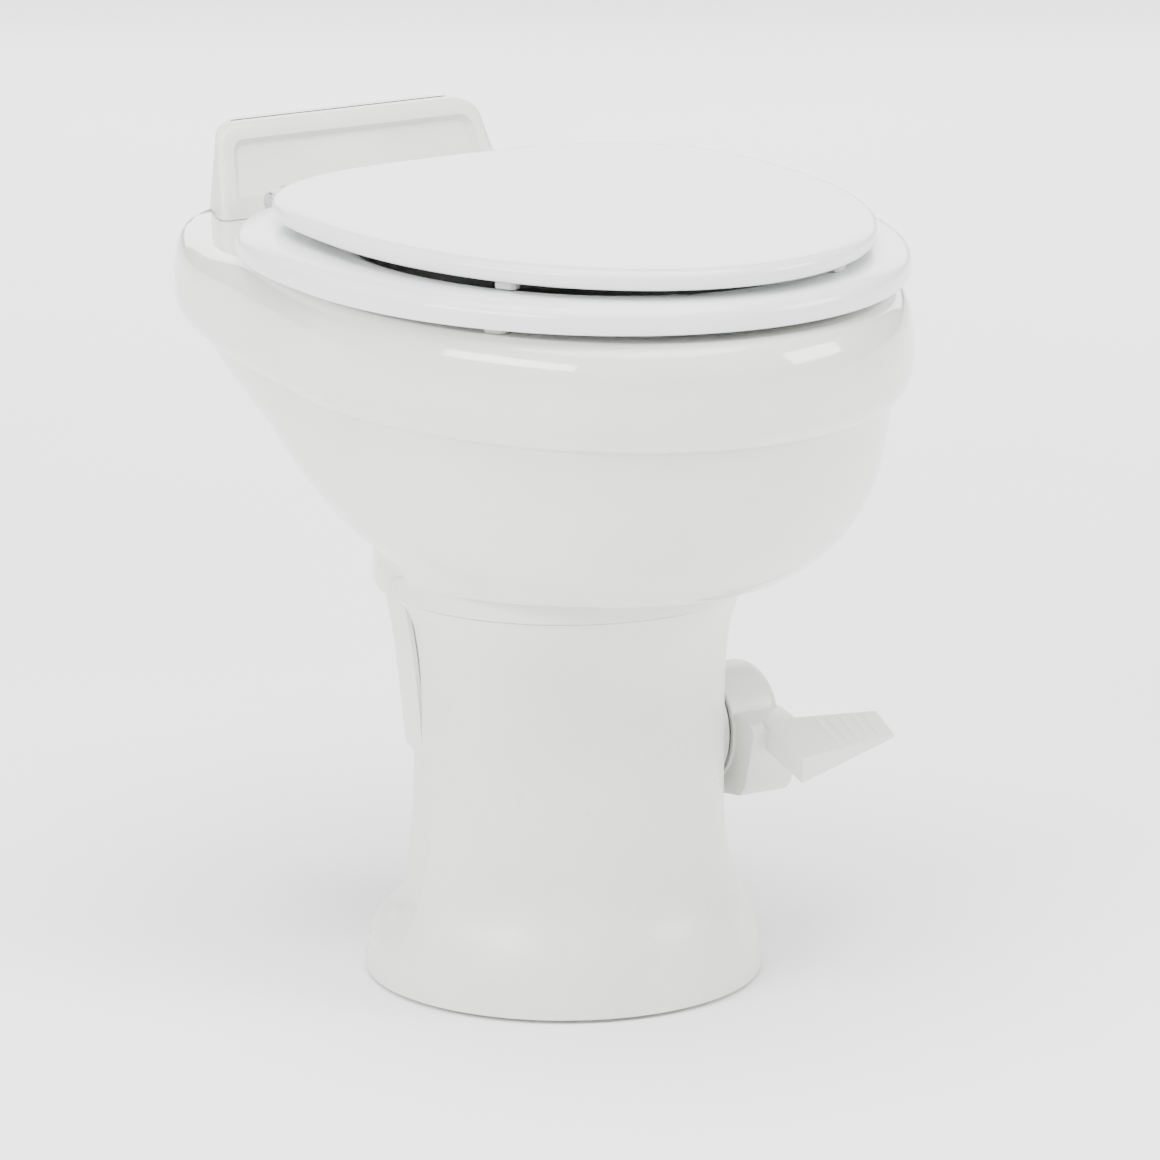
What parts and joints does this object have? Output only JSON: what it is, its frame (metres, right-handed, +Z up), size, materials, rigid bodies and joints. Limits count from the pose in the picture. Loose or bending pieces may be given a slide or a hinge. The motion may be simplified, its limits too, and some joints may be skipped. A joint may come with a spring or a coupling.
{
  "type": "rv toilet",
  "caption": "White gravity flush toilet for a motor home: china bowl on a moulded pedestal, slow close seat and lid, rear deck cover and a side foot pedal that opens a ball valve.",
  "frame": {"origin": "on the floor, on the axis of the floor flange and the outlet", "axes": "+Z up out of the floor, +Y towards the deck cover at the back, +X towards the foot pedal"},
  "size_m": [0.381, 0.549, 0.495],
  "materials": {
    "china": "gloss",
    "moulded": "satin",
    "seat_plastic": "gloss",
    "plastic": "matt",
    "dark_plastic": "matt",
    "rubber": "matt",
    "steel": "satin"
  },
  "bodies": {
    "base": {"pedestal": "moulded", "rear_shroud": "moulded", "floor_seal": "rubber", "floor_bolt_left": "steel", "floor_bolt_right": "steel", "floor_washer_left": "steel", "floor_washer_right": "steel", "floor_nut_left": "steel", "floor_nut_right": "steel", "valve_body": "plastic", "ball_seal": "rubber", "shaft_bush_left": "plastic", "shaft_bush_right": "plastic", "spring_housing": "plastic", "torsion_spring": "steel", "water_valve": "plastic", "bowl": "china", "bowl_gasket": "rubber", "bowl_stud_left": "steel", "bowl_stud_right": "steel", "bowl_nut_left": "steel", "bowl_nut_right": "steel", "rear_cover": "moulded", "vacuum_breaker": "plastic", "breaker_cap": "dark_plastic", "supply_hose": "rubber", "hose_clamp_lower": "steel", "hose_clamp_upper": "steel", "outlet_elbow": "rubber", "rim_hose": "rubber", "rim_grommet": "rubber", "hinge_post_left": "seat_plastic", "hinge_post_right": "seat_plastic", "hinge_pin_left": "steel", "hinge_pin_right": "steel", "hinge_bolt_left": "steel", "hinge_bolt_right": "steel", "hinge_nut_left": "plastic", "hinge_nut_right": "plastic"},
    "pedal_unit": {"pedal": "moulded", "pedal_screw": "steel", "pedal_shaft": "steel", "ball_pivot": "plastic", "flush_ball": "plastic", "valve_cam": "plastic"},
    "plunger_unit": {"valve_plunger": "steel"},
    "inlet_nut_unit": {"inlet_nut": "plastic"},
    "float_unit": {"breaker_float": "dark_plastic"},
    "seat_unit": {"seat_ring": "seat_plastic", "seat_bumper_1": "rubber", "seat_bumper_2": "rubber", "seat_bumper_3": "rubber", "seat_bumper_4": "rubber"},
    "lid_unit": {"lid": "seat_plastic", "lid_bumper_1": "rubber", "lid_bumper_2": "rubber", "lid_bumper_3": "rubber", "lid_bumper_4": "rubber"}
  },
  "joints": [
    {"name": "pedal_hinge", "type": "hinge", "parent": "base", "child": "pedal_unit", "pos_m": [0, 0, 0.141], "axis": [1, 0, 0], "range_deg": [-8, 80], "stiffness_Nm_per_rad": 3, "springref_deg": -1.72},
    {"name": "plunger_slide", "type": "slide", "parent": "base", "child": "plunger_unit", "axis": [0, 0, -1], "range_m": [-0.0006, 0.0044]},
    {"name": "inlet_nut_swivel", "type": "hinge", "parent": "base", "child": "inlet_nut_unit", "pos_m": [0.0616, 0.114, 0.044], "axis": [0, 1, 0], "continuous": true},
    {"name": "float_slide", "type": "slide", "parent": "base", "child": "float_unit", "axis": [0, 0, 1], "range_m": [0, 0.016]},
    {"name": "seat_hinge", "type": "hinge", "parent": "base", "child": "seat_unit", "pos_m": [0, 0.205, 0.456], "axis": [-1, 0, 0], "range_deg": [0, 95]},
    {"name": "lid_hinge", "type": "hinge", "parent": "seat_unit", "child": "lid_unit", "pos_m": [0, 0.205, 0.456], "axis": [1, 0, 0], "range_deg": [-100, 0]}
  ],
  "couplings": [
    {"joint": "plunger_slide", "follows": "pedal_hinge", "m_per_rad": 0.003008}
  ]
}
